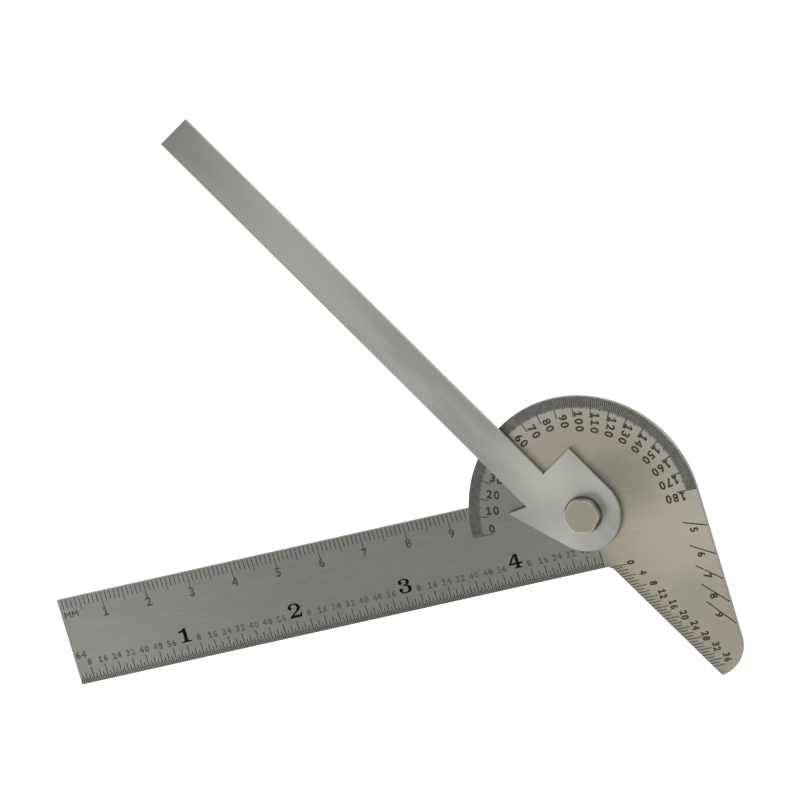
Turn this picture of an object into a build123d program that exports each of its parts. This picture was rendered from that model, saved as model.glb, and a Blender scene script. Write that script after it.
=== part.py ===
from build123d import *

import os
from math import acos, asin, atan2, cos, degrees, hypot, radians, sin, tan

# Angle gauge. One steel plate carries a rule, a half-round dial and a drill-point tail.
# A flat arm swings over the dial on a stud and is held by a low hexagon lock nut.
# The origin is on the pivot axis at the back face of the plate.
# +X runs from the rule towards the tail, +Y to the top of the dial, +Z out of the graduated face.

INCH = 25.4

# Plate: its rule, its dial and its tail are one piece of sheet.
PLATE_THICKNESS = 1.2
RULE_REACH = 120.0
RULE_WIDTH = 19.05
RULE_TOP = 6.5
DIAL_RADIUS = 25.6
TAIL_ANGLE = 59.0
TAIL_DEPTH = 40.75
TAIL_TIP_RADIUS = 7.2
NOTCH_X = 2.1
NOTCH_RADIUS = 2.0
EDGE_BREAK = 0.12

# Arm: measured along its reading edge and square to it.
ARM_READING = 59.5
ARM_REACH = 118.5
ARM_WIDTH = 8.0
ARM_THICKNESS = 1.0
HUB_RADIUS = 8.15
TAB_REACH = 12.1
POINTER_TIP = (11.5, 12.1)
POINTER_ROOT = 9.7

# Pivot: a flat-headed stud, a plain washer, a disc spring and the lock nut.
STUD_RADIUS = 2.0
STUD_HEAD_RADIUS = 4.5
STUD_HEAD_HEIGHT = 0.5
THREAD_RADIUS = 1.5
THREAD_BEVEL = 0.1
SHOULDER_SETBACK = 0.1
WASHER_RADIUS = 6.0
WASHER_THICKNESS = 0.2
SPRING_RADIUS = 4.1
SPRING_THICKNESS = 0.25
SPRING_CONE = 0.1
NUT_FLATS = 7.2
NUT_HEIGHT = 1.8
NUT_CORNER_RADIUS = 1.9
NUT_BEVEL_WIDTH = 0.4
NUT_BEVEL_DROP = 0.2
NUT_ROOF = 0.5
NUT_TURN = -12.3
THREAD_TIP_GAP = 0.15

# Clearances.
HEAD_CLEARANCE = 0.02
STAKE_CLEARANCE = 0.02
RUNNING_CLEARANCE = 0.05
WASHER_CLEARANCE = 0.1

# Graduations: shallow grooves in the face.
GROOVE_DEPTH = 0.05
GROOVE_RISE = 0.01
GROOVE_RUN_OUT = 0.5
FINE_GROOVE = 0.2
INCH_GROOVE = 0.22
DIAL_GROOVE = 0.27
BOLD_GROOVE = 0.3
POLYGON_GROOVE = 0.33
MM_LENGTHS = {10: 3.6, 5: 3.0, 1: 2.2}
INCH_PARTS = 64
INCH_LENGTHS = {8: 3.4, 4: 2.6, 2: 1.9, 1: 1.2}
INCH_STEP = 0.25
LAST_INCH_MARK = 3.8
DIAL_LENGTHS = {10: 4.5, 5: 2.7, 1: 2.2}
TAIL_PARTS = 32
TAIL_MARGIN = 2.0
TAIL_LENGTHS = {4: 3.4, 2: 2.8, 1: 2.2}
TAIL_ZERO_MARK = 3.6
POLYGONS = range(5, 10)
POLYGON_MARK_REACH = 5.2

RULE_BOTTOM = RULE_TOP - RULE_WIDTH
ARM_ANGLE = 180.0 - ARM_READING

# Levels of the stack on the pivot, from the back face upwards.
ARM_BACK = PLATE_THICKNESS + WASHER_THICKNESS
ARM_FACE = ARM_BACK + ARM_THICKNESS
NUT_SEAT = ARM_FACE + SPRING_THICKNESS + SPRING_CONE
NUT_TOP = NUT_SEAT + NUT_HEIGHT
NUT_BORE_TOP = NUT_TOP - NUT_ROOF
STUD_TIP = NUT_BORE_TOP - THREAD_TIP_GAP
SHOULDER = ARM_FACE - SHOULDER_SETBACK


def box_between(low, high):
    """Return a rectangle from its lower left corner to its upper right corner."""
    width = high[0] - low[0]
    height = high[1] - low[1]
    return Pos(low[0], low[1]) * Rectangle(width, height, align=(Align.MIN, Align.MIN))


def on_tail_edge(drop):
    """Return the point of the tail's slanted edge that is this far below the rule's lower edge."""
    along = drop / sin(radians(TAIL_ANGLE))
    return NOTCH_X + along * cos(radians(TAIL_ANGLE)), RULE_BOTTOM - drop


def broken_edges(solid, size):
    """Return the solid with the sharp edges round its front and back faces taken off."""
    faces = solid.faces().filter_by(Axis.Z)
    return chamfer(faces.edges(), size)


def plate_outline():
    """Return the plate's outline: rule, dial and tail, less the open angle under the rule."""
    rule = box_between((-RULE_REACH, RULE_BOTTOM), (0, RULE_TOP))
    tail = box_between((0, -TAIL_DEPTH), (DIAL_RADIUS, 0))
    corner = tail.vertices().sort_by(Axis.X)[-2:].sort_by(Axis.Y)[0]
    tail = fillet(corner, TAIL_TIP_RADIUS)
    beyond = 2 * TAIL_DEPTH
    open_angle = make_face(
        Polyline(
            (NOTCH_X, RULE_BOTTOM),
            on_tail_edge(beyond),
            (-RULE_REACH - beyond, RULE_BOTTOM - beyond),
            (-RULE_REACH - beyond, RULE_BOTTOM),
            close=True,
        )
    )
    notch = open_angle.vertices().sort_by_distance((NOTCH_X, RULE_BOTTOM))[0]
    open_angle = fillet(notch, NOTCH_RADIUS)
    return rule + Circle(DIAL_RADIUS) + tail - open_angle


def groove(start, angle, length, width):
    """Return the V-shaped cutter for one mark that starts at a point and runs at an angle."""
    half_width = width / 2 * (1 + GROOVE_RISE / GROOVE_DEPTH)
    section = Polyline(
        (0, -half_width, GROOVE_RISE),
        (0, half_width, GROOVE_RISE),
        (0, 0, -GROOVE_DEPTH),
        close=True,
    )
    cutter = Solid.extrude(Face(section.wire()), Vector(length, 0, 0))
    return Pos(start[0], start[1], PLATE_THICKNESS) * Rot(0, 0, angle) * cutter


def length_of(index, lengths):
    """Return the mark's length: the one of the coarsest step that divides its index."""
    for step, length in lengths.items():
        if index % step == 0:
            return length
    raise ValueError(index)


def millimetre_marks():
    """Return the cutters of the millimetre scale, along the rule's upper edge to the dial."""
    dial_start = RULE_REACH - (DIAL_RADIUS**2 - RULE_TOP**2) ** 0.5
    marks = []
    for index in range(1, int(dial_start)):
        length = length_of(index, MM_LENGTHS) + GROOVE_RUN_OUT
        start = (index - RULE_REACH, RULE_TOP + GROOVE_RUN_OUT)
        marks.append(groove(start, -90, length, FINE_GROOVE))
    return marks


def inch_marks():
    """Return the cutters of the inch scale in sixty-fourths, up to the notch's last quarter."""
    marks = []
    steps = int((RULE_REACH + NOTCH_X) / (INCH * INCH_STEP))
    last = round(steps * INCH_STEP * INCH_PARTS)
    for index in range(1, last + 1):
        length = LAST_INCH_MARK if index == last else length_of(index, INCH_LENGTHS)
        width = BOLD_GROOVE if index == last else INCH_GROOVE
        start = (index * INCH / INCH_PARTS - RULE_REACH, RULE_BOTTOM - GROOVE_RUN_OUT)
        marks.append(groove(start, 90, length + GROOVE_RUN_OUT, width))
    return marks


def dial_marks():
    """Return the cutters of the dial's degrees, which rise clockwise from the rule's side."""
    hidden_rim = degrees(asin(RULE_TOP / DIAL_RADIUS))
    marks = []
    for degree in range(181):
        turn = radians(180 - degree)
        run_out = GROOVE_RUN_OUT if hidden_rim < degree < 180 else 0
        outer = DIAL_RADIUS + run_out
        length = length_of(degree, DIAL_LENGTHS) + run_out
        width = BOLD_GROOVE if degree % 10 == 0 else DIAL_GROOVE
        start = (outer * cos(turn), outer * sin(turn))
        marks.append(groove(start, -degree, length, width))
    return marks


def tail_marks():
    """Return the cutters of the tail's scale, in thirty-seconds of an inch down its edge."""
    pitch = INCH / TAIL_PARTS * sin(radians(TAIL_ANGLE))
    edge_drop = TAIL_DEPTH + RULE_BOTTOM - TAIL_MARGIN
    marks = []
    for index in range(int(edge_drop / pitch) + 1):
        x, y = on_tail_edge(index * pitch)
        length = TAIL_ZERO_MARK if index == 0 else length_of(index, TAIL_LENGTHS)
        run_out = 0 if index == 0 else GROOVE_RUN_OUT
        shift = -FINE_GROOVE if index == 0 else 0
        marks.append(groove((x - run_out, y + shift), 0, length + run_out, FINE_GROOVE))
    return marks


def polygon_marks():
    """Return the cutters of the side marks: each points at the pivot, one for each polygon."""
    marks = []
    for sides in POLYGONS:
        slope = radians(90 - 360 / sides)
        inner = DIAL_RADIUS - POLYGON_MARK_REACH
        start = (inner, -inner * tan(slope))
        length = (POLYGON_MARK_REACH + GROOVE_RUN_OUT) / cos(slope)
        marks.append(groove(start, -degrees(slope), length, POLYGON_GROOVE))
    return marks


def base_plate():
    """Return the plate with its pivot hole, the stud head's recess and all graduations."""
    plate = broken_edges(extrude(plate_outline(), PLATE_THICKNESS), EDGE_BREAK)
    hole = extrude(Circle(STUD_RADIUS + STAKE_CLEARANCE), PLATE_THICKNESS)
    recess = extrude(Circle(STUD_HEAD_RADIUS + HEAD_CLEARANCE), STUD_HEAD_HEIGHT)
    grooves = millimetre_marks() + inch_marks() + dial_marks() + tail_marks() + polygon_marks()
    return plate - hole - recess - grooves


def arm_outline():
    """Return the arm's outline along +X: blade, hub, square tab and barbed pointer."""
    blade = box_between((0, 0), (ARM_REACH, ARM_WIDTH))
    tab = box_between((0, -HUB_RADIUS), (TAB_REACH, ARM_WIDTH))
    tip_angle = atan2(POINTER_TIP[1], POINTER_TIP[0])
    touch = tip_angle + acos(HUB_RADIUS / hypot(*POINTER_TIP))
    touch_point = (HUB_RADIUS * cos(touch), HUB_RADIUS * sin(touch))
    pointer = make_face(
        Polyline((0, 0), (POINTER_ROOT, ARM_WIDTH), POINTER_TIP, touch_point, close=True)
    )
    head = Circle(HUB_RADIUS) + tab + pointer
    return blade + head


def swing_arm():
    """Return the arm at its reading, lying on the washer."""
    arm = broken_edges(extrude(arm_outline(), ARM_THICKNESS), EDGE_BREAK)
    arm -= extrude(Circle(STUD_RADIUS + RUNNING_CLEARANCE), ARM_THICKNESS)
    return Pos(0, 0, ARM_BACK) * Rot(0, 0, ARM_ANGLE) * arm


def pivot_stud():
    """Return the stud: flat head, plain shank for the arm and the nut's screwed end."""
    head = extrude(Circle(STUD_HEAD_RADIUS), STUD_HEAD_HEIGHT)
    shank = extrude(Circle(STUD_RADIUS), SHOULDER)
    thread = extrude(Circle(THREAD_RADIUS), STUD_TIP)
    thread = chamfer(thread.edges().sort_by(Axis.Z)[-1], THREAD_BEVEL)
    return head + shank + thread


def friction_washer():
    """Return the plain washer that keeps the arm off the dial."""
    ring = Circle(WASHER_RADIUS) - Circle(STUD_RADIUS + WASHER_CLEARANCE)
    return Pos(0, 0, PLATE_THICKNESS) * extrude(ring, WASHER_THICKNESS)


def disc_spring():
    """Return the coned spring washer that stands on its rim under the nut."""
    inner = STUD_RADIUS + WASHER_CLEARANCE
    section = make_face(
        Polyline(
            (inner, SPRING_CONE),
            (SPRING_RADIUS, 0),
            (SPRING_RADIUS, SPRING_THICKNESS),
            (inner, SPRING_CONE + SPRING_THICKNESS),
            close=True,
        )
    )
    return Pos(0, 0, ARM_FACE) * revolve(Plane.XZ * section, Axis.Z)


def lock_nut():
    """Return the closed hexagon nut with well rounded corners and a low bevel round its top."""
    hexagon = RegularPolygon(NUT_FLATS / 2, 6, major_radius=False)
    hexagon = fillet(hexagon.vertices(), NUT_CORNER_RADIUS)
    nut = extrude(hexagon, NUT_HEIGHT)
    top = nut.faces().sort_by(Axis.Z)[-1]
    nut = chamfer(top.edges(), NUT_BEVEL_WIDTH, NUT_BEVEL_DROP, reference=top)
    nut -= extrude(Circle(THREAD_RADIUS + RUNNING_CLEARANCE), NUT_HEIGHT - NUT_ROOF)
    return Pos(0, 0, NUT_SEAT) * Rot(0, 0, NUT_TURN) * nut


PIECES = {
    "base_plate": base_plate,
    "pivot_stud": pivot_stud,
    "friction_washer": friction_washer,
    "swing_arm": swing_arm,
    "disc_spring": disc_spring,
    "lock_nut": lock_nut,
}

os.makedirs("parts", exist_ok=True)
for name, build in PIECES.items():
    export_step(build(), f"parts/{name}.step")
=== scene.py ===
"""Looks of the angle gauge: satin steel, graduations filled with black, numerals and a pale studio.

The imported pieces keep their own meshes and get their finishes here. What is new sits in the plate's
face: the black filling of every engraved mark and the numerals beside them. Lengths in the classes
are in millimetres, in the plate's frame, and turn to metres where a mesh is made.
"""

import logging
from dataclasses import dataclass, field
from enum import Enum
from math import cos, degrees, radians, sin, sqrt, tan

import bmesh
import bpy
import numpy as np
from mathutils import Matrix, Vector


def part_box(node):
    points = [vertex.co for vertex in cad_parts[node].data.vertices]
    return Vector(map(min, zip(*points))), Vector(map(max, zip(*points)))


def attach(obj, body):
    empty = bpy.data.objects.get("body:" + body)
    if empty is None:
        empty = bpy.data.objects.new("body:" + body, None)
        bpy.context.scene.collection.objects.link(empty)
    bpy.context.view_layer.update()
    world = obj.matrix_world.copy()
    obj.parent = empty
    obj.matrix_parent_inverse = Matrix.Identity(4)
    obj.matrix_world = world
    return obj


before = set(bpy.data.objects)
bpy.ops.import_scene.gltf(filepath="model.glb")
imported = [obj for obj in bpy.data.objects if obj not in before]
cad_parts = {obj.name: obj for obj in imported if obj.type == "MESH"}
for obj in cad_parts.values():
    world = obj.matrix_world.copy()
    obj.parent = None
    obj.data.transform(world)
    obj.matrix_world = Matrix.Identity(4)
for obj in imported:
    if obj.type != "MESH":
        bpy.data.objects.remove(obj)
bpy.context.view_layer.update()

log = logging.getLogger("angle_gauge")

MM = 0.001
INCH = 25.4
POLYGONS = range(5, 10)

Socket = bpy.types.NodeSocket
Tree = bpy.types.NodeTree
Material = bpy.types.Material
Pair = tuple[float, float]
Triple = tuple[float, float, float]
Values = np.ndarray | float
Outline = list[tuple[float, float, bool]]

# Settings that many shader nodes share.
EASED = {"interpolation_type": "SMOOTHSTEP"}
COLOURS = {"data_type": "RGBA"}
SOFT_LIGHT = {"data_type": "RGBA", "blend_type": "SOFT_LIGHT"}
PRODUCT = {"operation": "MULTIPLY"}
SUM = {"operation": "ADD"}
LENGTH = {"operation": "LENGTH"}

# A flat pattern is this long through the sheet, in millimetres, so that it doesn't change there.
THROUGH = 1000.0


def linear(colour: str) -> tuple[float, float, float, float]:
    """Turns an sRGB hex colour into linear red, green, blue and a full alpha.

    Args:
        colour: six hex digits after a hash sign.

    Returns:
        The four numbers that a colour socket takes.
    """
    steps = np.array([int(colour[i : i + 2], 16) for i in (1, 3, 5)]) / 255
    low = steps / 12.92
    high = ((steps + 0.055) / 1.055) ** 2.4
    return (*(float(c) for c in np.where(steps <= 0.04045, low, high)), 1.0)


def add_node(
    tree: Tree, kind: str, settings: dict[str, object] | None = None, *inputs: object, output: str = ""
) -> Socket | None:
    """Adds one shader node with its settings and links.

    An input that is given another node's output is linked to it, one that is given a hex colour
    gets it in linear numbers, and any other value is set as it is.

    Args:
        tree: the node tree that gets the node.
        kind: the node's type, without the leading ShaderNode.
        settings: values by the name of a property or of an input socket.
        *inputs: values of the input sockets in use, in their order.
        output: the name of the wanted output. Left out, it is the first one in use.

    Returns:
        The output's socket, or None for a node without one.
    """
    node = tree.nodes.new(f"ShaderNode{kind}")
    values = []
    for name, value in (settings or {}).items():
        if name in node.inputs:
            values.append((node.inputs[name], value))
        else:
            setattr(node, name, value)
    values.extend(zip([socket for socket in node.inputs if socket.enabled], inputs))
    for socket, value in values:
        if isinstance(value, Socket):
            tree.links.new(value, socket)
        else:
            socket.default_value = linear(value) if isinstance(value, str) else value
    outputs = (socket for socket in node.outputs if socket.enabled and output in ("", socket.name))
    return next(outputs, None)


def real_size(size: Triple, centre: Pair = (0.0, 0.0), turn: float = 0.0) -> dict[str, object]:
    """Gives the settings by which a Mapping node counts in a pattern's own real size.

    Its coordinates are moved to the pattern's centre, turned back and divided by the pattern's size.

    Args:
        size: what one step of the pattern measures along, across and through, in millimetres.
        centre: the pattern's centre on the plate, in millimetres.
        turn: the angle of its length against +X, in degrees.

    Returns:
        The settings.
    """
    return {
        "vector_type": "TEXTURE",
        "Location": (centre[0] * MM, centre[1] * MM, 0.0),
        "Rotation": (0.0, 0.0, radians(turn)),
        "Scale": tuple(length * MM for length in size),
    }


def new_material(name: str) -> tuple[Material, Tree]:
    """Makes a material with an empty node tree.

    Args:
        name: the material's name.

    Returns:
        The material and its tree.
    """
    material = bpy.data.materials.new(name)
    material.use_nodes = True
    material.node_tree.nodes.clear()
    return material, material.node_tree


@dataclass(frozen=True)
class Patch:
    """A soft oval in which the sheet's tone drifts to another colour: full to its core, then easing."""

    centre: Pair
    size: Pair
    colour: str
    strength: float = 1.0
    core: float = 0.0
    turn: float = 0.0

    def share(self, tree: Tree, spot: Socket) -> Socket:
        """Adds the patch's share: its strength up to its core, easing to nothing at its oval's rim.

        Args:
            tree: the node tree.
            spot: Object coordinates.

        Returns:
            The share's socket.
        """
        place = real_size((*self.size, THROUGH), self.centre, self.turn)
        away = add_node(tree, "VectorMath", LENGTH, add_node(tree, "Mapping", place, spot))
        return add_node(tree, "MapRange", EASED, away, self.core, 1.0, self.strength, 0.0)


@dataclass(frozen=True)
class Ring:
    """A ring round the pivot, above the +X axis, in which the sheet's tone drifts to another colour."""

    inner: float
    outer: float
    ease: float
    colour: str
    strength: float
    left_end: float
    end_ease: float = 3.0
    blur: float = 0.1

    def share(self, tree: Tree, spot: Socket) -> Socket:
        """Adds the ring's share: it eases in from its inner radius and ends at its outer one.

        Args:
            tree: the node tree.
            spot: Object coordinates.

        Returns:
            The share's socket, nothing below the +X axis and left of the ring's left end.
        """
        vector = add_node(tree, "Mapping", real_size((1.0, 1.0, THROUGH)), spot)
        away = add_node(tree, "VectorMath", LENGTH, vector)
        x, y, _ = add_node(tree, "SeparateXYZ", None, vector).node.outputs
        spans = (
            (away, self.inner, self.inner + self.ease, 0.0, self.strength),
            (away, self.outer, self.outer + self.blur, 1.0, 0.0),
            (x, self.left_end, self.left_end + self.end_ease),
            (y, -self.blur, self.blur),
        )
        share, *factors = [add_node(tree, "MapRange", EASED, *span) for span in spans]
        for factor in factors:
            share = add_node(tree, "Math", PRODUCT, share, factor)
        return share


@dataclass(frozen=True)
class SatinSteel:
    """Stainless sheet, ground with a fine belt and then blasted: a dull grey with a faint grain.

    The eye gets a soft, smooth gloss, a drift of tone over the sheet that is partly painted light
    and shade, softly broken edges and duller, rougher sheared walls.
    """

    name: str
    colour: str
    cloud_colour: str
    wall_colour: str
    grain_turn: float
    roughness: float
    # Tone drifts on the front; some are painted light, shade and reflection.
    drifts: tuple[Patch | Ring, ...] = ()
    # The real belt grain is about 0.03 mm wide. It is drawn eight times as wide, so that it shows.
    grain: Triple = (7.0, 0.25, 0.25)
    cloud: Triple = (14.0, 9.0, 9.0)
    scratch: Triple = (26.0, 0.45, 2.0)
    scratch_slant: float = 23.0
    # The noise values between which each pattern comes in.
    cloud_span: Pair = (0.38, 0.62)
    streak_span: Pair = (0.3, 0.7)
    scratch_span: Pair = (0.73, 0.76)
    rough_span: Pair = (0.25, 0.75)
    # How level a surface is, from 0 for an upright wall to 1: where a wall ends, where the front
    # begins, and the level of a broken edge's 45 degree slope, with how far off it may be.
    wall_span: Pair = (0.3, 0.5)
    front_span: Pair = (0.4, 0.6)
    slope_level: Pair = (0.707, 0.1)
    edge_colour: str = "#A4A49F"
    edge_share: float = 0.5
    streak_share: float = 0.04
    scratch_share: float = 0.05
    rough_drift: float = 0.03
    wall_blur: float = 0.12
    slope_blur: float = 0.1
    bump_share: float = 0.035
    bump_depth: float = 0.02
    wall_metal: float = 0.3

    def material(self) -> Material:
        """Returns the finish as a material.

        Returns:
            A metal whose colour, roughness and bump follow the grain, the clouds and the edges. The
            drifts, partly painted light and shade, are on its front only.
        """
        material, tree = new_material(self.name)
        spot = add_node(tree, "TexCoord", output="Object")
        facing = add_node(tree, "SeparateXYZ", None, spot.node.outputs["Normal"], output="Z")
        level = add_node(tree, "Math", {"operation": "ABSOLUTE"}, facing)
        front = add_node(tree, "MapRange", EASED, facing, *self.front_span)
        wall = add_node(tree, "MapRange", EASED, level, *self.wall_span, 1.0, 0.0)
        metal = add_node(tree, "MapRange", EASED, level, *self.wall_span, self.wall_metal, 1.0)
        slope = add_node(tree, "Math", {"operation": "COMPARE"}, level, *self.slope_level)
        grain = self.noise(tree, spot, self.grain, detail=3.0)
        cloud = self.noise(tree, spot, self.cloud, detail=2.0)
        scratch = self.noise(tree, spot, self.scratch, detail=1.0, slant=self.scratch_slant)

        share = add_node(tree, "MapRange", EASED, cloud, *self.cloud_span)
        colour = add_node(tree, "Mix", COLOURS, share, self.colour, self.cloud_colour)
        for drift in self.drifts:
            share = add_node(tree, "Math", PRODUCT, drift.share(tree, spot), front)
            colour = add_node(tree, "Mix", COLOURS, share, colour, drift.colour)
        share = add_node(tree, "MapRange", EASED, grain, *self.streak_span, 0.0, self.streak_share)
        colour = add_node(tree, "Mix", SOFT_LIGHT, share, colour, "#FFFFFF")
        share = add_node(tree, "MapRange", EASED, scratch, *self.scratch_span, 0.0, self.scratch_share)
        colour = add_node(tree, "Mix", COLOURS, share, colour, self.edge_colour)
        colour = add_node(tree, "Mix", COLOURS, wall, colour, self.wall_colour)
        share = add_node(tree, "Math", PRODUCT, slope, self.edge_share)
        colour = add_node(tree, "Mix", COLOURS, share, colour, self.edge_colour)

        rough_ends = (self.roughness - self.rough_drift, self.roughness + self.rough_drift)
        rough = add_node(tree, "MapRange", EASED, grain, *self.rough_span, *rough_ends)
        for share, blur in ((wall, self.wall_blur), (slope, self.slope_blur)):
            rough = add_node(tree, "Math", SUM, rough, add_node(tree, "Math", PRODUCT, share, blur))
        relief = {"Strength": self.bump_share, "Distance": self.bump_depth * MM, "Height": grain}
        bump = add_node(tree, "Bump", relief)
        coat = {"Base Color": colour, "Metallic": metal, "Roughness": rough, "Normal": bump}
        add_node(tree, "OutputMaterial", {"Surface": add_node(tree, "BsdfPrincipled", coat)})
        return material

    def noise(self, tree: Tree, spot: Socket, size: Triple, detail: float, slant: float = 0.0) -> Socket:
        """Adds noise whose cells have a real size.

        Args:
            tree: the node tree.
            spot: Object coordinates.
            size: a cell's length, width and height in millimetres.
            detail: how many finer layers it has.
            slant: the angle of its cells against the grain, in degrees.

        Returns:
            The noise's value.
        """
        vector = add_node(tree, "Mapping", real_size(size, turn=self.grain_turn + slant), spot)
        settings = {"Vector": vector, "Scale": 1.0, "Detail": detail, "Roughness": 0.6}
        return add_node(tree, "TexNoise", settings)


@dataclass(frozen=True)
class TurnedMetal:
    """Metal turned on a lathe: fine rings round the pivot, a soft gloss and duller bevels, painted pale
    as a highlight.
    """

    name: str
    colour: str
    ring_colour: str
    edge_colour: str
    roughness: float
    ring_width: float = 0.22
    ring_span: Pair = (0.35, 0.65)
    rough_span: Pair = (0.2, 0.8)
    rough_drift: float = 0.04
    # How level a surface is, from 0 for an upright wall to 1: where a wall ends and a flat begins.
    wall_span: Pair = (0.05, 0.3)
    flat_span: Pair = (0.9, 0.99)
    bump_share: float = 0.1
    bump_depth: float = 0.01
    wall_metal: float = 0.4
    bevel_blur: float = 0.12

    def material(self) -> Material:
        """Returns the finish as a material.

        Returns:
            A metal whose rings follow the distance from the pivot axis.
        """
        material, tree = new_material(self.name)
        spot = add_node(tree, "TexCoord", output="Object")
        flat = add_node(tree, "Mapping", real_size((self.ring_width, self.ring_width, THROUGH)), spot)
        away = add_node(tree, "VectorMath", LENGTH, flat)
        ring = add_node(tree, "TexNoise", {"noise_dimensions": "1D"}, away, 1.0, 2.0)
        facing = add_node(tree, "SeparateXYZ", None, spot.node.outputs["Normal"], output="Z")
        level = add_node(tree, "Math", {"operation": "ABSOLUTE"}, facing)
        not_wall = add_node(tree, "MapRange", EASED, level, *self.wall_span)
        not_flat = add_node(tree, "MapRange", EASED, level, *self.flat_span, 1.0, 0.0)
        bevel = add_node(tree, "Math", PRODUCT, not_wall, not_flat)
        share = add_node(tree, "MapRange", EASED, ring, *self.ring_span)
        colour = add_node(tree, "Mix", COLOURS, share, self.colour, self.ring_colour)
        # The bevels take the pale edge colour, a painted highlight ring on the nut.
        colour = add_node(tree, "Mix", COLOURS, bevel, colour, self.edge_colour)
        metal = add_node(tree, "MapRange", EASED, level, *self.wall_span, self.wall_metal, 1.0)
        rough_ends = (self.roughness - self.rough_drift, self.roughness + self.rough_drift)
        rough = add_node(tree, "MapRange", EASED, ring, *self.rough_span, *rough_ends)
        blur = add_node(tree, "Math", PRODUCT, bevel, self.bevel_blur)
        rough = add_node(tree, "Math", SUM, rough, blur)
        relief = {"Strength": self.bump_share, "Distance": self.bump_depth * MM, "Height": ring}
        bump = add_node(tree, "Bump", relief)
        coat = {"Base Color": colour, "Metallic": metal, "Roughness": rough, "Normal": bump}
        add_node(tree, "OutputMaterial", {"Surface": add_node(tree, "BsdfPrincipled", coat)})
        return material


@dataclass(frozen=True)
class EtchBlack:
    """Stoved black filling in etched marks: near black, matt and slightly worn to grey."""

    name: str
    colour: str
    worn_colour: str
    worn_share: float
    shine: float = 0.5
    speck: float = 0.8
    # The noise values between which it looks worn and turns smoother, and its roughness at both.
    worn_span: Pair = (0.42, 0.7)
    rough_span: Pair = (0.3, 0.7)
    rough: Pair = (0.62, 0.42)

    def material(self) -> Material:
        """Returns the filling as a material.

        Returns:
            A matt dark coat that thins to the worn colour in small clouds.
        """
        material, tree = new_material(self.name)
        spot = add_node(tree, "TexCoord", output="Object")
        vector = add_node(tree, "Mapping", real_size((self.speck,) * 3), spot)
        cloud = add_node(tree, "TexNoise", {"Vector": vector, "Scale": 1.0, "Detail": 3.0})
        worn = add_node(tree, "MapRange", EASED, cloud, *self.worn_span, 0.0, self.worn_share)
        colour = add_node(tree, "Mix", COLOURS, worn, self.colour, self.worn_colour)
        rough = add_node(tree, "MapRange", EASED, cloud, *self.rough_span, *self.rough)
        coat = {"Base Color": colour, "Roughness": rough, "Specular IOR Level": self.shine}
        add_node(tree, "OutputMaterial", {"Surface": add_node(tree, "BsdfPrincipled", coat)})
        return material


@dataclass(frozen=True)
class Shape:
    """Points and faces of one closed form, before they become a mesh."""

    points: np.ndarray
    faces: list[tuple[int, ...]]

    def placed(self, stretch: Triple, turn: float, place: Triple) -> "Shape":
        """Returns the form stretched, turned about +Z and then moved.

        Args:
            stretch: the factors along X, Y and Z.
            turn: the angle in degrees.
            place: where its origin goes.

        Returns:
            The new form.
        """
        angle = radians(turn)
        matrix = np.array([[cos(angle), -sin(angle), 0], [sin(angle), cos(angle), 0], [0, 0, 1]])
        return Shape((self.points * stretch) @ matrix.T + place, self.faces)


def joined(shapes: list[Shape]) -> Shape:
    """Returns several forms as one, with each form's faces counted on from the one before.

    Args:
        shapes: the forms.

    Returns:
        The one form, which holds all their points and faces.
    """
    firsts = np.cumsum([0] + [len(shape.points) for shape in shapes[:-1]])
    faces = [
        tuple(index + int(first) for index in face)
        for shape, first in zip(shapes, firsts)
        for face in shape.faces
    ]
    return Shape(np.concatenate([shape.points for shape in shapes]), faces)


def new_piece(name: str, shape: Shape, body: str, material: Material) -> None:
    """Makes an object at the origin from a form in millimetres, and lets it ride on a body.

    Args:
        name: the piece's name.
        shape: its points and faces.
        body: the body that it moves with.
        material: its finish.
    """
    mesh = bpy.data.meshes.new(name)
    mesh.from_pydata((shape.points * MM).tolist(), [], shape.faces)
    mesh.validate()
    mesh.materials.append(material)
    piece = bpy.data.objects.new(name, mesh)
    bpy.context.scene.collection.objects.link(piece)
    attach(piece, body)
    log.info("%s: %d faces, rides on %s", name, len(mesh.polygons), body)


def dress(node: str, material: Material) -> None:
    """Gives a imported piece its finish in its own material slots.

    Args:
        node: the piece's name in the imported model.
        material: its finish.
    """
    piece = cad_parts[node]
    if not piece.material_slots:
        piece.data.materials.append(material)
    for slot in piece.material_slots:
        slot.material = material
    log.info("%s: %s", node, material.name)


# Points of a numeral are one where they lie nearer than this, in shares of its height, and a face
# is level where its points differ by less along Z.
SAME_PLACE = 1e-5


def filled_curve(curve: bpy.types.Curve) -> Shape:
    """Turns a flat filled curve into a closed form that is one unit thick.

    Args:
        curve: a text or a flat curve whose extrude is half a unit. It is removed.

    Returns:
        The form, with its doubles merged, its faces turned outwards and its two flat sides divided
        into well-shaped triangles.
    """
    holder = bpy.data.objects.new("outline", curve)
    bpy.context.scene.collection.objects.link(holder)
    bpy.context.view_layer.update()
    flat = bpy.data.meshes.new_from_object(holder.evaluated_get(bpy.context.evaluated_depsgraph_get()))
    work = bmesh.new()
    work.from_mesh(flat)
    bmesh.ops.remove_doubles(work, verts=work.verts, dist=SAME_PLACE)
    bmesh.ops.recalc_face_normals(work, faces=work.faces)
    caps = [face for face in work.faces if np.ptp([vertex.co.z for vertex in face.verts]) < SAME_PLACE]
    inner = [edge for edge in work.edges if all(face in caps for face in edge.link_faces)]
    bmesh.ops.beautify_fill(work, faces=caps, edges=inner)
    work.to_mesh(flat)
    work.free()
    points = np.empty(3 * len(flat.vertices))
    flat.vertices.foreach_get("co", points)
    faces = [tuple(face.vertices) for face in flat.polygons]
    bpy.data.objects.remove(holder)
    bpy.data.curves.remove(curve)
    bpy.data.meshes.remove(flat)
    return Shape(points.reshape(-1, 3), faces)


class Hand(Enum):
    """The two styles of numeral on the plate."""

    PLAIN = "plain sans numerals"
    FAT = "fat serif numerals of the whole inches"


# The two kinds of point in a numeral's outline: a corner, and one that is passed in a round curve.
C, R = False, True

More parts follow.
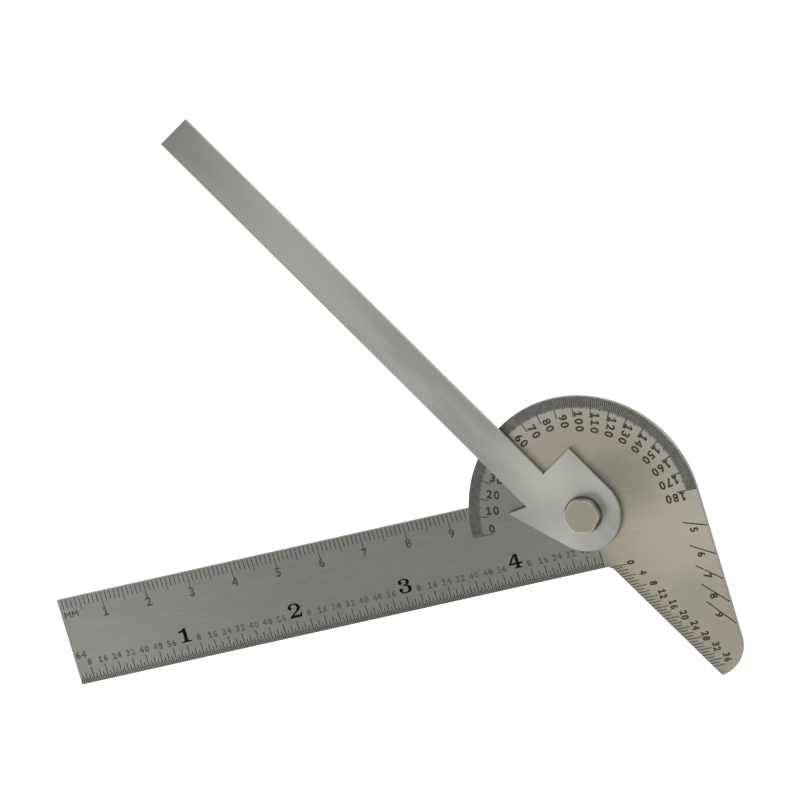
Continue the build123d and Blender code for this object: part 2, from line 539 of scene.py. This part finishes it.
# Outlines of the fat numerals in hundredths of their height, from the foot of the middle.
FAT_OUTLINES: dict[str, list[Outline]] = {
    "1": [[
        (-36, 0, C), (40, 0, C), (40, 8, C), (24, 10, R), (16, 17, C), (16, 100, C),
        (0, 100, C), (-16, 88, R), (-37, 84, C), (-42, 66, C), (-26, 72, R), (-10, 72, C),
        (-10, 17, C), (-18, 10, R), (-36, 8, C),
    ]],
    "2": [[
        (-42, 0, C), (42, 0, C), (50, 33, C), (41, 33, C), (36, 21, R), (26, 18, C),
        (-13, 18, C), (12, 35, R), (38, 53, R), (46, 72, R), (32, 93, R), (2, 100, R),
        (-30, 93, R), (-43, 73, R), (-37, 61, R), (-25, 58, R), (-15, 68, R), (-22, 82, C),
        (-4, 91, R), (15, 86, R), (22, 70, R), (14, 53, R), (-14, 31, R), (-42, 8, C),
    ]],
    "3": [[
        (-10, 59, C), (8, 62, R), (16, 75, R), (11, 88, R), (-4, 92, R), (-22, 86, C),
        (-13, 76, R), (-19, 65, R), (-31, 63, R), (-41, 74, R), (-31, 93, R), (0, 100, R),
        (30, 94, R), (41, 77, R), (32, 60, R), (19, 54, C), (38, 47, R), (47, 29, R),
        (34, 7, R), (2, 0, R), (-33, 7, R), (-45, 24, R), (-37, 37, R), (-25, 37, R),
        (-16, 27, R), (-24, 13, C), (-2, 8, R), (14, 13, R), (21, 29, R), (15, 45, R),
        (2, 50, R), (-10, 50, C),
    ]],
    "4": [[
        (0, 100, C), (26, 100, C), (26, 41, C), (48, 41, C), (48, 27, C), (26, 27, C),
        (26, 15, C), (31, 10, R), (43, 8, C), (43, 0, C), (-10, 0, C), (-10, 8, C),
        (-2, 10, R), (3, 15, C), (3, 27, C), (-48, 27, C), (-48, 38, C),
    ], [
        (-29, 41, C), (3, 41, C), (3, 82, C),
    ]],
}


def footed_one(stroke: float) -> list[Outline]:
    """Returns the outline of a plain 1 that has a flag and a foot, one unit high.

    Args:
        stroke: the stroke's width.

    Returns:
        Its one outline.
    """
    half, reach, flag, drop = stroke / 2, 0.29, 0.8, 1.1 * stroke
    corners = [
        (-reach, 0.0), (reach, 0.0), (reach, stroke), (half, stroke), (half, 1.0), (-half, 1.0),
        (-reach, flag), (-reach, flag - drop), (-half, 1.0 - drop), (-half, stroke), (-reach, stroke),
    ]
    return [[(x, y, C) for x, y in corners]]


def closed_four(stroke: float) -> list[Outline]:
    """Returns the outlines of a plain closed 4, one unit high.

    Its strokes are four fifths as wide as the other numerals', so that the triangle inside stays
    open. The slanted one is as wide as the other two, measured square to its own direction, which
    sets the triangle's corners.

    Args:
        stroke: the other numerals' stroke width.

    Returns:
        The outer outline and the triangle.
    """
    reach, stem, bar, thin = 0.34, 0.25, 0.27, 0.8 * stroke
    inner, top = stem - thin, bar + thin
    rise, run = 1.0 - top, inner + reach
    left = thin * sqrt(rise**2 + run**2) / rise - reach
    outer = [
        (inner, 0.0), (stem, 0.0), (stem, bar), (reach, bar), (reach, top), (stem, top), (stem, 1.0),
        (inner, 1.0), (-reach, top), (-reach, bar), (inner, bar),
    ]
    triangle = [(left, top), (inner, top), (inner, top + (inner - left) * rise / run)]
    return [[(x, y, C) for x, y in outline] for outline in (outer, triangle)]


# The plain numerals that the built-in face has otherwise: its 1 has no foot, and its 4 fills up
# when its outline is moved out.
PLAIN_OUTLINES = {"1": footed_one, "4": closed_four}


@dataclass
class NumeralCase:
    """The set of numerals, each made once as a closed form one unit high and one unit thick."""

    # The straight steps in each piece of a round curve, for typed and for drawn ones.
    typed_steps: int = 3
    drawn_steps: int = 5
    cut: dict[tuple[Hand, float, str], Shape] = field(default_factory=dict)

    def typed(self, character: str, weight: float) -> Shape:
        """Returns one character of the built-in sans face.

        Args:
            character: the character.
            weight: how far its outline is moved out.

        Returns:
            The filled form, at the face's own height.
        """
        curve = bpy.data.curves.new("numeral", "FONT")
        curve.body = character
        curve.resolution_u = self.typed_steps
        curve.offset = weight
        curve.extrude = 0.5
        return filled_curve(curve)

    def drawn(self, outlines: list[Outline]) -> Shape:
        """Returns a numeral from its outline points.

        Args:
            outlines: the outer outline and any inner ones. A point is x, y and whether it is round.

        Returns:
            The filled form.
        """
        curve = bpy.data.curves.new("numeral", "CURVE")
        curve.dimensions = "2D"
        curve.fill_mode = "BOTH"
        curve.resolution_u = self.drawn_steps
        curve.extrude = 0.5
        for outline in outlines:
            spline = curve.splines.new("BEZIER")
            spline.bezier_points.add(len(outline) - 1)
            spline.use_cyclic_u = True
            for point, (x, y, is_round) in zip(spline.bezier_points, outline):
                point.co = (x, y, 0.0)
                point.handle_left_type = point.handle_right_type = "AUTO" if is_round else "VECTOR"
        return filled_curve(curve)

    def numeral(self, hand: Hand, weight: float, character: str) -> Shape:
        """Returns a numeral, centred on x = 0 and standing on y = 0.

        Args:
            hand: its style.
            weight: how far its outline is moved out, for a plain numeral.
            character: the numeral or letter.

        Returns:
            The form, as high as 1 for a numeral.
        """
        key = (hand, weight, character)
        if key not in self.cut:
            if hand is Hand.FAT:
                self.cut[key] = self.drawn(
                    [[(x / 100, y / 100, kind) for x, y, kind in row] for row in FAT_OUTLINES[character]]
                )
            else:
                self.cut[key] = self.plain(weight, character)
        return self.cut[key]

    def plain(self, weight: float, character: str) -> Shape:
        """Returns a plain numeral: the face's own, or one drawn with the face's stroke.

        Args:
            weight: how far its outline is moved out.
            character: the numeral or letter.

        Returns:
            The form at unit height.
        """
        stem = self.typed("1", weight).points
        tall = np.ptp(stem[:, 1])
        if character in PLAIN_OUTLINES:
            foot = stem[stem[:, 1] < stem[:, 1].min() + tall / 4]
            return self.drawn(PLAIN_OUTLINES[character](float(np.ptp(foot[:, 0]) / tall)))
        shape = self.typed(character, weight)
        low, high = shape.points.min(axis=0), shape.points.max(axis=0)
        middle = ((low[0] + high[0]) / 2, -weight, 0.0)
        return Shape((shape.points - middle) / (tall, tall, 1.0), shape.faces)


@dataclass(frozen=True)
class Lettering:
    """How a group of labels is written: style, height, step to the next numeral, weight and spread.

    The weight is how far a plain numeral's outline is moved out, and the spread is what its width is
    multiplied by.
    """

    hand: Hand
    height: float
    step: float
    weight: float = 0.0
    spread: float = 1.0


@dataclass(frozen=True)
class Label:
    """One label: its text, the foot of its start or middle, and the turn of its reading direction."""

    text: str
    x: float
    y: float
    turn: float = 0.0
    centred: bool = True


@dataclass(frozen=True)
class Marks:
    """The marks of one scale: their lengths, from the longest kind down, and their groove's width.

    The steps say at every how many marks each longer kind comes.
    """

    lengths: tuple[float, ...]
    width: float
    steps: tuple[int, ...] = ()

    def ranked(self, index: np.ndarray) -> np.ndarray:
        """Returns each mark's length, by the first step that divides its number."""
        *longer, single = self.lengths
        return np.select([index % step == 0 for step in self.steps], longer, single)


@dataclass
class Graduations:
    """Every mark and numeral of the plate's four scales and of its side marks."""

    # The plate and its grooves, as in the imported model.
    rule_top: float = 6.5
    rule_width: float = 19.05
    tail_angle: float = 59.0
    notch_x: float = 2.1
    edge_break: float = 0.12
    millimetres: Marks = Marks((3.6, 3.0, 2.2), 0.2, (10, 5))
    inches: Marks = Marks((3.4, 2.6, 1.9, 1.2), 0.22, (8, 4, 2))
    dial: Marks = Marks((4.5, 2.7, 2.2), 0.27, (10, 5))
    tail: Marks = Marks((3.4, 2.8, 2.2), 0.2, (4, 2))
    sides: Marks = Marks((5.2,), 0.33)
    bold: float = 0.3
    last_inch_mark: float = 3.8
    tail_zero_mark: float = 3.6
    tail_margin: float = 2.0
    inch_parts: int = 64
    tail_parts: int = 32
    dial_end: int = 180
    groove_depth: float = 0.05
    # Gaps between a filling and its groove: under the face, at the ends, at the sides and below.
    fill_top: float = 0.004
    fill_inset: float = 0.01
    fill_side: float = 0.002
    fill_foot: float = 0.003
    # How far the labels stand out of the face, and how far they reach into it.
    label_rise: float = 0.008
    label_sink: float = 0.004
    # How far the labels' feet stand in from their scale's edge, or where one label stands from the
    # rule's end and in from that edge.
    centimetre_inset: float = 5.5
    inch_inset: float = 4.1
    eighth_inset: float = 3.9
    parts_mark: Pair = (1.75, 5.6)
    unit_mark: Pair = (2.35, 4.3)
    inch_shift: float = 0.2
    last_eighth: float = 4.7
    # For dial labels of one, two and three figures: where they start, in shares of the dial's
    # radius, and how far they stand clear of their mark.
    degree_starts: tuple[float, ...] = (0.853, 0.855, 0.878)
    degree_clearances: tuple[float, ...] = (0.13, 0.4, 0.16)
    last_degree_shift: float = 0.4
    # How far the tail's labels stand in from its edge: at its zero, and with one and two figures.
    tail_insets: Triple = (3.7, 4.0, 3.65)
    tail_last: int = 36
    # The side marks' numbers: the place on the mark, in from the dial's radius, that they are set
    # out from, and how far to the left of it and below it they stand.
    side_inset: float = 3.55
    side_shift: float = 0.6
    side_drop: float = 1.45
    case: NumeralCase = field(default_factory=NumeralCase)

    def __post_init__(self) -> None:
        """Reads the plate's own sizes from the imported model, and works out where the scales end.

        The millimetres end where the rule's upper edge meets the dial, and the inches at the notch.
        """
        low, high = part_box("base_plate")
        self.rule_reach = -low.x / MM
        self.tail_depth = -low.y / MM
        self.dial_radius = high.x / MM
        self.face = high.z / MM
        self.rule_bottom = self.rule_top - self.rule_width
        self.tail_pitch = INCH / self.tail_parts * sin(radians(self.tail_angle))
        self.millimetre_end = int(self.rule_reach - sqrt(self.dial_radius**2 - self.rule_top**2))
        self.inch_end = (self.rule_reach + self.notch_x) / INCH

    def bars(self, starts: np.ndarray, turns: Values, lengths: np.ndarray, widths: Values) -> Shape:
        """Returns the filling of many grooves as one form of separate closed bars.

        A bar's section is the groove's own: a triangle that narrows in step with the depth. Its two
        upper corners lie half the groove's width there to the left and right of the mark's line,
        its lower corner on the line, and the section is carried along the line from start to end.

        Args:
            starts: each mark's start, as rows of x and y.
            turns: the marks' directions in degrees, or one for all.
            lengths: each mark's length.
            widths: the widths of the grooves at the face, or one for all.

        Returns:
            The bars, six points each.
        """
        angles = np.radians(np.broadcast_to(turns, lengths.shape))
        along = np.stack([np.cos(angles), np.sin(angles)], axis=1)
        across = np.stack([-np.sin(angles), np.cos(angles)], axis=1)
        narrowed = np.broadcast_to(widths, lengths.shape) * (1 - self.fill_top / self.groove_depth)
        half = narrowed / 2 - self.fill_side
        travel = np.stack([np.full(len(lengths), self.fill_inset), lengths - self.fill_inset], axis=1)
        side = np.stack([-half, half, np.zeros(len(half))], axis=1)
        flat = (
            starts[:, None, None, :]
            + travel[:, :, None, None] * along[:, None, None, :]
            + side[:, None, :, None] * across[:, None, None, :]
        )
        top = self.face - self.fill_top
        foot = self.face - self.groove_depth + self.fill_foot
        height = np.broadcast_to(np.array([top, top, foot])[None, None, :, None], (*flat.shape[:3], 1))
        points = np.concatenate([flat, height], axis=3).reshape(-1, 3)
        firsts = 6 * np.arange(len(lengths))[:, None, None]
        quads = firsts + np.array([[0, 3, 4, 1], [1, 4, 5, 2], [2, 5, 3, 0]])
        caps = firsts + np.array([[0, 1, 2], [3, 5, 4]])
        faces = [*map(tuple, quads.reshape(-1, 4).tolist()), *map(tuple, caps.reshape(-1, 3).tolist())]
        return Shape(points, faces)

    def tail_edge(self, drop: Values) -> np.ndarray:
        """Returns points of the tail's slanted edge.

        Args:
            drop: how far below the rule each one lies.

        Returns:
            Their x and y, in the last axis.
        """
        drop = np.asarray(drop, float)
        x = self.notch_x + drop / tan(radians(self.tail_angle))
        return np.stack([x, self.rule_bottom - drop], axis=-1)

    def millimetre_bars(self) -> Shape:
        """Fills the millimetre marks: longer at every fifth and tenth, down from the upper edge.

        Returns:
            The bars.
        """
        index = np.arange(1, self.millimetre_end)
        lengths = self.millimetres.ranked(index) - self.edge_break
        top = np.full(len(index), self.rule_top - self.edge_break)
        starts = np.stack([index - self.rule_reach, top], axis=1)
        return self.bars(starts, -90.0, lengths, self.millimetres.width)

    def inch_bars(self) -> Shape:
        """Fills the marks in sixty-fourths of an inch, up from the lower edge to a bold last quarter.

        Returns:
            The bars.
        """
        parts = self.inch_parts
        count = int(self.inch_end * 4) * parts // 4
        index = np.arange(1, count + 1)
        lengths = np.where(index == count, self.last_inch_mark, self.inches.ranked(index))
        widths = np.where(index == count, self.bold, self.inches.width)
        foot = np.full(count, self.rule_bottom + self.edge_break)
        starts = np.stack([index * INCH / parts - self.rule_reach, foot], axis=1)
        return self.bars(starts, 90.0, lengths - self.edge_break, widths)

    def degree_bars(self) -> Shape:
        """Fills the dial's marks, inward from the rim and clockwise from the rule's side.

        Returns:
            The bars.
        """
        index = np.arange(self.dial_end + 1)
        angles = np.radians(self.dial_end - index)
        hidden = degrees(np.arcsin(self.rule_top / self.dial_radius))
        outer = self.dial_radius - np.where(index > hidden, self.edge_break, 0.0)
        lengths = self.dial.ranked(index) - (self.dial_radius - outer)
        starts = outer[:, None] * np.stack([np.cos(angles), np.sin(angles)], axis=1)
        widths = np.where(index % 10 == 0, self.bold, self.dial.width)
        return self.bars(starts, -index.astype(float), lengths, widths)

    def tail_bars(self) -> Shape:
        """Fills the tail's level marks, a thirty-second of an inch apart down its slanted edge.

        Returns:
            The bars.
        """
        count = int((self.tail_depth + self.rule_bottom - self.tail_margin) / self.tail_pitch) + 1
        index = np.arange(count)
        is_zero = index == 0
        inward = np.where(is_zero, 0.0, self.edge_break / sin(radians(self.tail_angle)))
        lengths = np.where(is_zero, self.tail_zero_mark, self.tail.ranked(index)) - inward
        shift = np.stack([inward, np.where(is_zero, -self.tail.width, 0.0)], axis=1)
        starts = self.tail_edge(index * self.tail_pitch) + shift
        return self.bars(starts, 0.0, lengths, self.tail.width)

    def side_bars(self) -> Shape:
        """Fills the five side marks at the tail's outer edge, each in line with the pivot.

        Returns:
            The bars.
        """
        slopes = np.array([self.slope(sides) for sides in POLYGONS])
        inner = self.dial_radius - self.sides.lengths[0]
        reach = self.dial_radius - self.edge_break - inner
        starts = np.stack([np.full(len(slopes), inner), -inner * np.tan(slopes)], axis=1)
        return self.bars(starts, -np.degrees(slopes), reach / np.cos(slopes), self.sides.width)

    def slope(self, sides: int) -> float:
        """Returns how far a polygon's side mark slopes down from +X, in radians."""
        return radians(90 - 360 / sides)

    def written(self, labels: list[Label], lettering: Lettering) -> Shape:
        """Returns a group of labels as one form, a little proud of the face.

        Each character is stretched to the lettering's height and spread, set a step after the one
        before, and turned with its label.

        Args:
            labels: the labels.
            lettering: how they are written.

        Returns:
            The joined characters.
        """
        shapes = []
        thick = self.label_rise + self.label_sink
        level = self.face + (self.label_rise - self.label_sink) / 2
        stretch = (lettering.height * lettering.spread, lettering.height, thick)
        for label in labels:
            reading = np.array([cos(radians(label.turn)), sin(radians(label.turn))])
            first = (1 - len(label.text)) / 2 if label.centred else 0.5
            for place, character in enumerate(label.text):
                x, y = (label.x, label.y) + reading * lettering.step * (first + place)
                numeral = self.case.numeral(lettering.hand, lettering.weight, character)
                shapes.append(numeral.placed(stretch, label.turn, (x, y, level)))
        return joined(shapes)

    def centimetre_labels(self) -> list[Label]:
        """Sets out the centimetre numerals, each centred under its mark.

        Returns:
            The labels.
        """
        foot = self.rule_top - self.centimetre_inset
        last = self.millimetre_end // 10
        return [Label(str(n), 10 * n - self.rule_reach, foot) for n in range(1, last + 1)]

    def inch_labels(self) -> list[Label]:
        """Sets out the whole inches over their marks."""
        start, foot = self.inch_shift - self.rule_reach, self.rule_bottom + self.inch_inset
        return [Label(str(n), start + INCH * n, foot) for n in range(1, int(self.inch_end) + 1)]

    def eighth_labels(self) -> list[Label]:
        """Sets out the sixty-fourths at every eighth of an inch between the inches.

        Returns:
            The labels.
        """
        foot = self.rule_bottom + self.eighth_inset
        return [
            Label(str(8 * n), INCH * (inch + n / 8) - self.rule_reach, foot)
            for inch in range(int(self.inch_end) + 1)
            for n in range(1, 8)
            if inch + n / 8 < self.last_eighth
        ]

    def scale_labels(self) -> list[Label]:
        """Sets out the parts of an inch at the start of the inch scale."""
        x, inset = self.parts_mark
        return [Label(str(self.inch_parts), x - self.rule_reach, self.rule_bottom + inset)]

    def unit_labels(self) -> list[Label]:
        """Sets out the unit mark at the start of the millimetre scale."""
        x, inset = self.unit_mark
        return [Label("MM", x - self.rule_reach, self.rule_top - inset)]

    def degree_labels(self) -> list[Label]:
        """Sets out the dial's labels, which read inward along their marks and stand clear of them.

        Returns:
            The labels.
        """
        labels = []
        for degree in range(0, self.dial_end + 1, 10):
            text = str(degree)
            angle = radians(self.dial_end - degree)
            out = self.degree_starts[len(text) - 1] * self.dial_radius
            out += self.last_degree_shift if degree == self.dial_end else 0.0
            clearance = self.degree_clearances[len(text) - 1]
            x = out * cos(angle) + clearance * sin(angle)
            y = out * sin(angle) - clearance * cos(angle)
            labels.append(Label(text, x, y, 360 - degree, centred=False))
        return labels

    def tail_labels(self) -> list[Label]:
        """Sets out the tail's labels at every fourth mark, read down the tail.

        Returns:
            The labels.
        """
        labels = []
        for index in range(0, self.tail_last + 1, 4):
            x, y = self.tail_edge(index * self.tail_pitch)
            inset = self.tail_insets[len(str(index)) if index else 0]
            labels.append(Label(str(index), x + inset, y, -90.0))
        return labels

    def side_labels(self) -> list[Label]:
        """Sets out the number of sides beside each side mark, read down the tail.

        Returns:
            The labels.
        """
        x = self.dial_radius - self.side_inset
        feet = {sides: -x * tan(self.slope(sides)) - self.side_drop for sides in POLYGONS}
        return [Label(str(sides), x - self.side_shift, y, -90.0) for sides, y in feet.items()]

    def build(self) -> None:
        """Makes the fillings and the labels as pieces that ride on the plate.

        The filling is black in the rule's marks and whole inches, brown on the tail and in the
        dial's numerals, and worn to grey in the dial's marks and the rule's other numerals.
        """
        black = EtchBlack("etched_black_filling", "#1F1F1D", "#4A4A46", 0.6).material()
        deep = EtchBlack("etched_deep_black_filling", "#0C0C0B", "#1C1C1A", 0.4, shine=0.1).material()
        brown = EtchBlack("etched_brown_black_filling", "#37312A", "#625A4E", 0.5).material()
        grey = EtchBlack("etched_worn_filling", "#4E4E4A", "#7E7E78", 0.7).material()
        faint = EtchBlack("etched_faint_filling", "#55554F", "#83837C", 0.7).material()
        bars = {
            "millimetre_mark_filling": (self.millimetre_bars(), black),
            "inch_mark_filling": (self.inch_bars(), black),
            "degree_mark_filling": (self.degree_bars(), grey),
            "tail_mark_filling": (self.tail_bars(), brown),
            "side_mark_filling": (self.side_bars(), brown),
        }
        plain, fat = Hand.PLAIN, Hand.FAT
        letterings = {
            "centimetre_numerals": (self.centimetre_labels(), Lettering(plain, 2.0, 1.6, 0.035), grey),
            "millimetre_unit_mark": (self.unit_labels(), Lettering(plain, 1.35, 1.7, spread=1.1), black),
            "inch_numerals": (self.inch_labels(), Lettering(fat, 3.15, 3.0), deep),
            "inch_eighth_numerals": (self.eighth_labels(), Lettering(plain, 1.4, 1.2, 0.03), faint),
            "inch_parts_mark": (self.scale_labels(), Lettering(plain, 1.6, 1.3, 0.03), faint),
            "degree_numerals": (self.degree_labels(), Lettering(plain, 1.9, 1.6, 0.035), brown),
            "tail_numerals": (self.tail_labels(), Lettering(plain, 1.7, 1.1, 0.05, 0.8), brown),
            "side_mark_numerals": (self.side_labels(), Lettering(plain, 1.8, 1.4, 0.035, 0.95), brown),
        }
        for name, (shape, finish) in bars.items():
            new_piece(name, shape, "plate", finish)
        for name, (labels, lettering, finish) in letterings.items():
            new_piece(name, self.written(labels, lettering), "plate", finish)


@dataclass
class Plate:
    """The rule, dial and tail: one sheet, grey on the rule, with a painted warm reflection on the dial
    and tail.
    """

    finish: SatinSteel = SatinSteel(
        name="ground_stainless_plate",
        colour="#A2A39E",
        cloud_colour="#9D9F9A",
        wall_colour="#84837E",
        grain_turn=0.0,
        roughness=0.34,
        drifts=(
            # Painted shade: the rule darkens towards the dial.
            Patch((-45.0, -3.0), (75.0, 40.0), "#92938E", core=0.2),
            # Painted warm reflection on the straw side: an oval so long that its rim is the straight
            # border between the tones.
            Patch((38.3, 22.6), (400.0, 50.0), "#C1BAA9", strength=0.96, core=0.92, turn=120.5),
            # Painted highlight: brightest below the hub on the right; painted shade: grey just above it.
            Patch((20.0, -9.0), (22.0, 22.0), "#DCD5C0", strength=0.75),
            # Painted shade on the side of the hub away from the key light.
            Patch((7.5, 7.5), (6.5, 6.5), "#9F9FA0", strength=0.9, core=0.1),
            # The tail is paler at its outer edge, greener half way down and greyer at its tip.
            Patch((25.5, -4.0), (6.5, 15.0), "#D0D0CC", strength=0.6),
            Patch((18.0, -22.0), (8.0, 8.0), "#B6B9A5", strength=0.6),
            Patch((24.0, -35.0), (7.0, 9.0), "#C0BBB2", strength=0.6),
            # Painted shade beside the arm: it is duller to the right of the hub.
            Patch((11.0, 5.0), (11.0, 11.0), "#A8A694", strength=0.8, core=0.1),
            # The dial is paler under its numerals. Its rim is dark, and less so on the right.
            Ring(17.5, 25.6, 4.5, "#C6C6BF", 0.55, left_end=-14.0),
            Ring(23.0, 25.6, 0.15, "#74746E", 0.75, left_end=-40.0),
            Ring(23.0, 25.6, 0.15, "#B5B5AE", 0.3, left_end=6.0),
        ),
    )
    graduations: Graduations = field(default_factory=Graduations)

    def build(self) -> None:
        """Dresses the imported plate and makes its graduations."""
        dress("base_plate", self.finish.material())
        self.graduations.build()


@dataclass
class Arm:
    """The swinging arm, its grain along the blade, paler than the plate and, partly by painted light,
    palest at the hub.

    Its reading is the angle that its edge shows on the dial, in degrees.
    """

    reading: float = 59.5

    def along(self, reach: float, aside: float) -> Pair:
        """Returns a point on the arm.

        Args:
            reach: its distance from the pivot along the reading edge.
            aside: its distance square to that edge.

        Returns:
            Its x and y on the plate.
        """
        turn = radians(180 - self.reading)
        return reach * cos(turn) - aside * sin(turn), reach * sin(turn) + aside * cos(turn)

    def build(self) -> None:
        """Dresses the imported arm."""
        turn = 180 - self.reading
        finish = SatinSteel(
            name="blasted_stainless_arm",
            colour="#B9BAB5",
            cloud_colour="#AAABA6",
            wall_colour="#B0B0AC",
            grain_turn=turn,
            roughness=0.46,
            cloud=(30.0, 8.0, 8.0),
            drifts=(
                # The head is pale all round the nut, with painted light beside it.
                Patch(self.along(11.0, -1.0), (15.0, 15.0), "#CDCEC8", turn=turn),
                # Painted highlight beside the nut, on the key light's side.
                Patch(self.along(-1.5, 7.5), (11.0, 9.0), "#D0D1CC", strength=0.85, turn=turn),
                # Painted light that lifts the nut's shade on the far side from the key light.
                Patch(self.along(2.0, -8.0), (9.0, 7.0), "#CFD0CB", strength=0.75, turn=turn),
                # The blade is even to two thirds of its length and darkens towards its end.
                Patch(self.along(82.0, 4.0), (26.0, 26.0), "#B9BAB5", turn=turn),
                Patch(self.along(122.0, 4.0), (26.0, 26.0), "#959691", turn=turn),
            ),
        )
        dress("swing_arm", finish.material())


@dataclass
class Pivot:
    """The stud, washer, disc spring and nut on the pivot axis."""

    # Painted light on the nut: its beige is a painted warm reflection, and its pale bevels a painted
    # highlight ring.
    nut: TurnedMetal = TurnedMetal(
        "turned_steel_nut", "#BEBAA9", "#B9B4A3", "#D9D6C9", 0.32, bevel_blur=0.5
    )
    stud: TurnedMetal = TurnedMetal("turned_steel_stud", "#B9B7AE", "#A9A79F", "#D8D6CE", 0.3)
    spring: TurnedMetal = TurnedMetal("tempered_spring_steel", "#7C766B", "#6B665D", "#A8A296", 0.34)
    washer: TurnedMetal = TurnedMetal("rolled_bronze_washer", "#B08D57", "#A07F4C", "#C9A56C", 0.4)

    def build(self) -> None:
        """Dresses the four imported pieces."""
        nodes = {
            "lock_nut": self.nut,
            "pivot_stud": self.stud,
            "disc_spring": self.spring,
            "friction_washer": self.washer,
        }
        for node, finish in nodes.items():
            dress(node, finish.material())


@dataclass
class Studio:
    """Pale floor, soft lights and a long lens that looks down on the plate from its upper right."""

    # The view: how far the camera leans from straight down, to which side, its roll, and how far it
    # stands from the place on the plate that it aims at. It sees what lies within its clip range.
    lean: float = 22.83
    side: float = 29.74
    roll: float = 225.46
    lens: float = 1277.6
    sensor: float = 36.0
    distance: float = 6000.0
    clip: Pair = (100.0, 20000.0)
    target: Pair = (-32.91, 32.33)
    floor_reach: float = 6000.0
    floor_drop: float = 0.1
    # The room glows most on the key light's side: that direction, how far along it the glow begins
    # and is full, and the two strengths.
    glow_side: Triple = (-0.61, -0.35, 0.71)
    glow_span: Pair = (-0.7, 0.3)
    glow: Pair = (0.12, 0.45)

    def build(self) -> None:
        """Makes the floor, the lights and the camera."""
        bpy.context.scene.view_settings.view_transform = "Standard"
        self.floor()
        self.sky()
        self.lamp("key_light", (-950.0, -520.0, 760.0), 650.0, 5.2, "#FFFDF8")
        self.lamp("low_fill_light", (1400.0, 800.0, 160.0), 300.0, 7.0, "#FFFEFB")
        self.camera()

    def floor(self) -> None:
        """Makes the pale floor, a flat sheet of matt white card under the part.

        It is clear from below, so that the back of the part is seen, lit by the card's upper side.
        """
        corners = np.array([[-1, -1], [1, -1], [1, 1], [-1, 1]]) * self.floor_reach
        points = np.column_stack([corners, np.full(4, -self.floor_drop)]) * MM
        mesh = bpy.data.meshes.new("floor")
        mesh.from_pydata(points.tolist(), [], [(0, 1, 2, 3)])
        material, tree = new_material("matt_white_card")
        coat = {"Base Color": "#F4F4F2", "Roughness": 0.9, "Specular IOR Level": 0.1}
        glow = {"Emission Color": "#FFFFFF", "Emission Strength": 0.9}
        card = add_node(tree, "BsdfPrincipled", coat | glow)
        clear = add_node(tree, "BsdfTransparent")
        below = add_node(tree, "NewGeometry", output="Backfacing")
        shader = add_node(tree, "MixShader", None, below, card, clear)
        add_node(tree, "OutputMaterial", {"Surface": shader})
        mesh.materials.append(material)
        sheet = bpy.data.objects.new("floor", mesh)
        bpy.context.scene.collection.objects.link(sheet)

    def sky(self) -> None:
        """Fills the room with a pale light that is stronger on the key light's side."""
        world = bpy.data.worlds.new("studio_room")
        bpy.context.scene.world = world
        world.use_nodes = True
        tree = world.node_tree
        tree.nodes.clear()
        towards = add_node(tree, "TexCoord", output="Generated")
        share = add_node(tree, "VectorMath", {"operation": "DOT_PRODUCT"}, towards, self.glow_side)
        glow = add_node(tree, "MapRange", EASED, share, *self.glow_span, *self.glow)
        room = add_node(tree, "Background", {"Color": "#FFFFFD", "Strength": glow})
        add_node(tree, "OutputWorld", {"Surface": room})

    def lamp(self, name: str, place: Triple, size: float, power: float, tint: str) -> None:
        """Hangs a square soft light that faces the middle of the part.

        Args:
            name: the light's name.
            place: its centre in millimetres.
            size: its side in millimetres.
            power: its power in watts.
            tint: its colour.
        """
        light = bpy.data.lights.new(name, "AREA")
        light.shape = "SQUARE"
        light.size = size * MM
        light.energy = power
        light.color = linear(tint)[:3]
        lamp = bpy.data.objects.new(name, light)
        lamp.location = Vector(place) * MM
        aim = Vector((*self.target, 0.0)) * MM - lamp.location
        lamp.rotation_euler = aim.to_track_quat("-Z", "Y").to_euler()
        bpy.context.scene.collection.objects.link(lamp)

    def camera(self) -> None:
        """Sets the camera: turned about +Z to its side, leaned back and rolled about its own axis."""
        data = bpy.data.cameras.new("camera")
        data.lens = self.lens
        data.sensor_width = self.sensor
        data.clip_start, data.clip_end = (reach * MM for reach in self.clip)
        camera = bpy.data.objects.new("camera", data)
        turned = Matrix.Rotation(radians(self.side + 90), 4, "Z")
        leaned = Matrix.Rotation(radians(self.lean), 4, "X")
        rolled = Matrix.Rotation(radians(self.roll), 4, "Z")
        aim = turned @ leaned @ rolled
        back = aim.to_3x3() @ Vector((0.0, 0.0, 1.0))
        spot = (Vector((*self.target, 0.0)) + back * self.distance) * MM
        camera.matrix_world = Matrix.Translation(spot) @ aim
        bpy.context.scene.collection.objects.link(camera)
        bpy.context.scene.camera = camera


def main() -> None:
    """Builds the studio and dresses the gauge, sub-assembly by sub-assembly."""
    logging.basicConfig(level=logging.INFO, format="%(name)s: %(message)s")
    for part in (Studio(), Plate(), Arm(), Pivot()):
        log.info("building %s", type(part).__name__)
        part.build()


if __name__ == "__main__":
    main()
